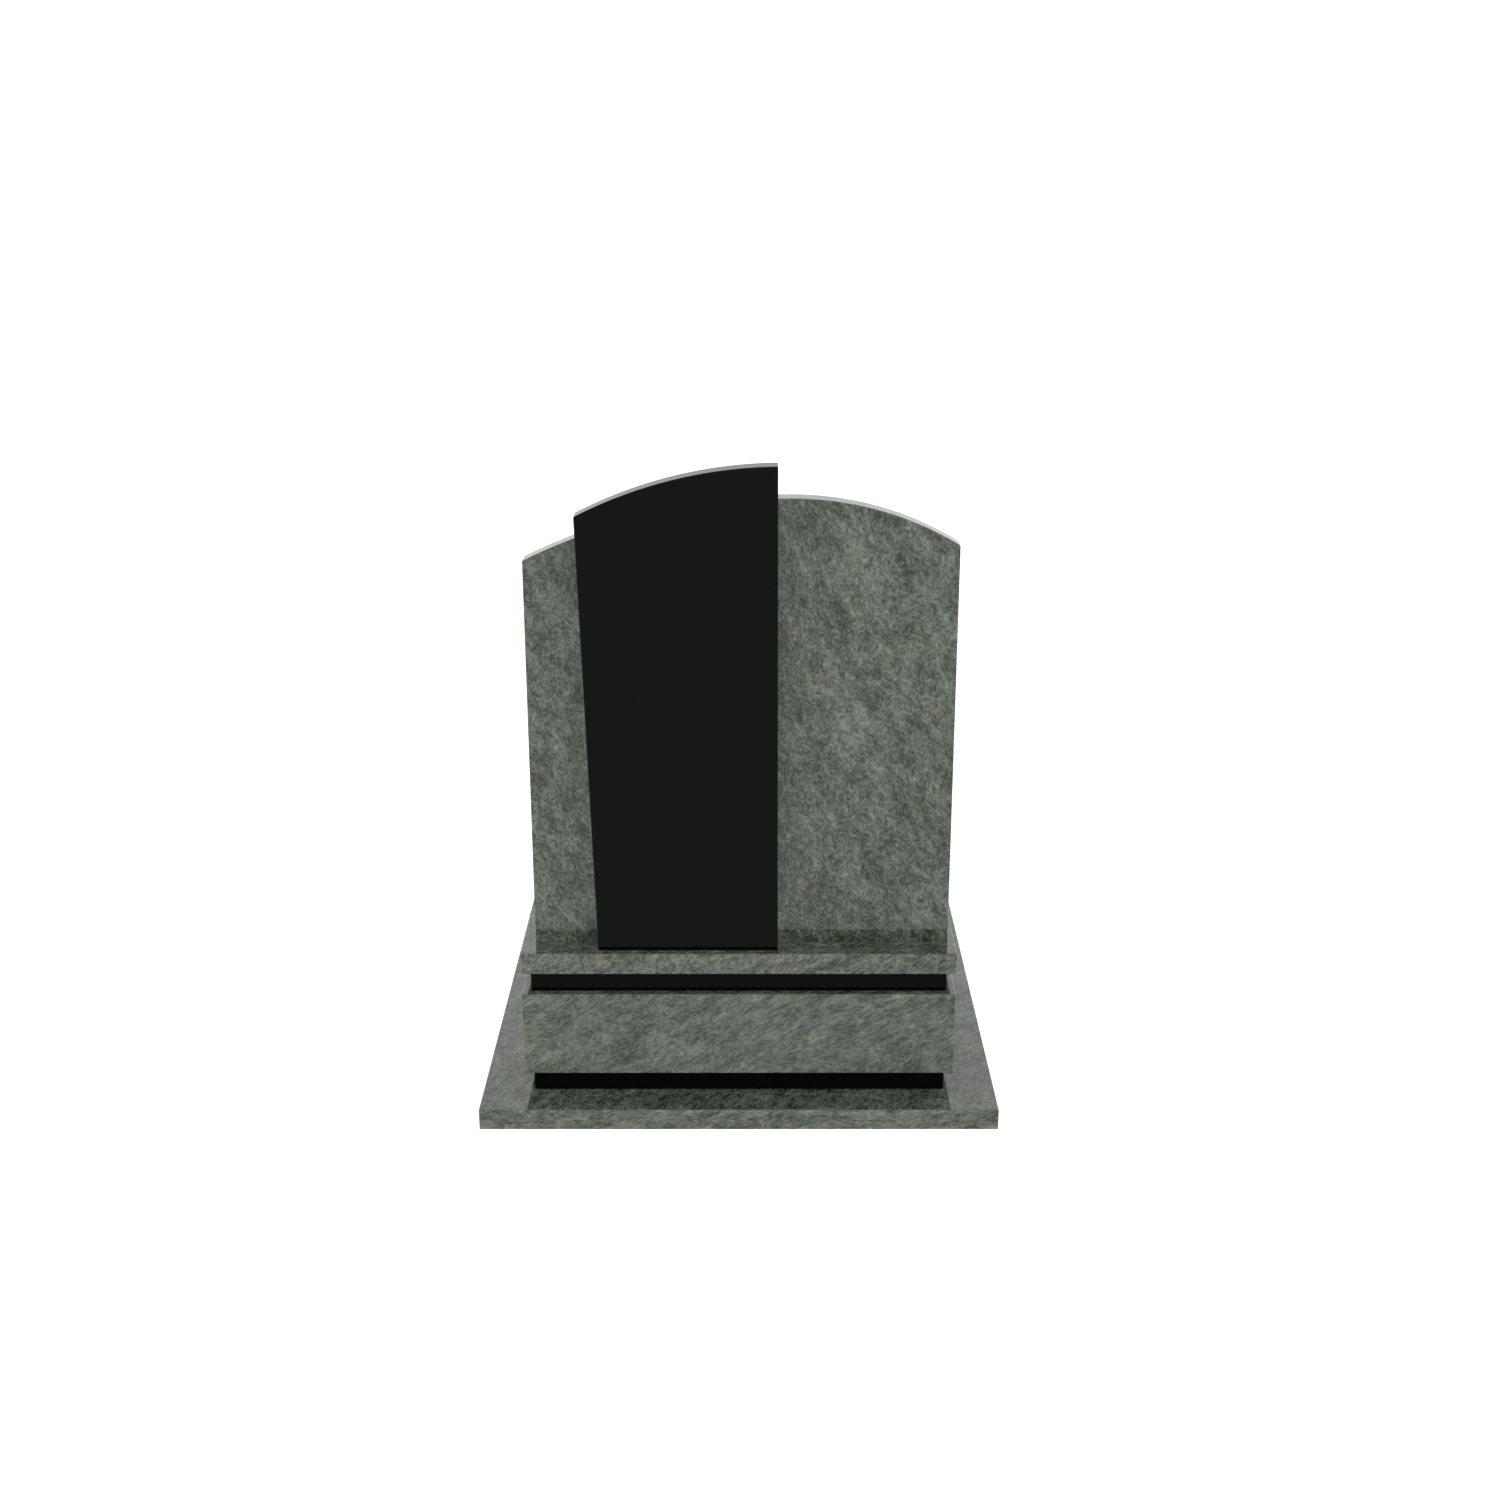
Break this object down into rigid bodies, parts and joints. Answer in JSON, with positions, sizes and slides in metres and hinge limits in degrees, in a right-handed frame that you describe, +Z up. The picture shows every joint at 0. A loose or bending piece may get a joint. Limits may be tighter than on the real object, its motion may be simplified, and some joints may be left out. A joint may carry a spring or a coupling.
{
  "type": "headstone",
  "caption": "Polished granite grave headstone: an arched green slab and a tapered black panel on a plinth, a block with black bands and a long thin base slab.",
  "frame": {"origin": "centre of the base slab's underside, at ground level", "axes": "+Z up; the panelled face of the headstone looks towards -Y; the base slab runs on behind it towards +Y; +X to the right as seen from -Y"},
  "size_m": [1.2, 2.2, 1.5247],
  "materials": {
    "green_granite": "polished",
    "black_granite": "polished"
  },
  "bodies": {
    "root": {"base_slab": "green_granite", "lower_black_band": "black_granite", "green_block": "green_granite", "upper_black_band": "black_granite", "plinth_slab": "green_granite", "headstone_slab": "green_granite", "black_panel": "black_granite"}
  },
  "joints": []
}
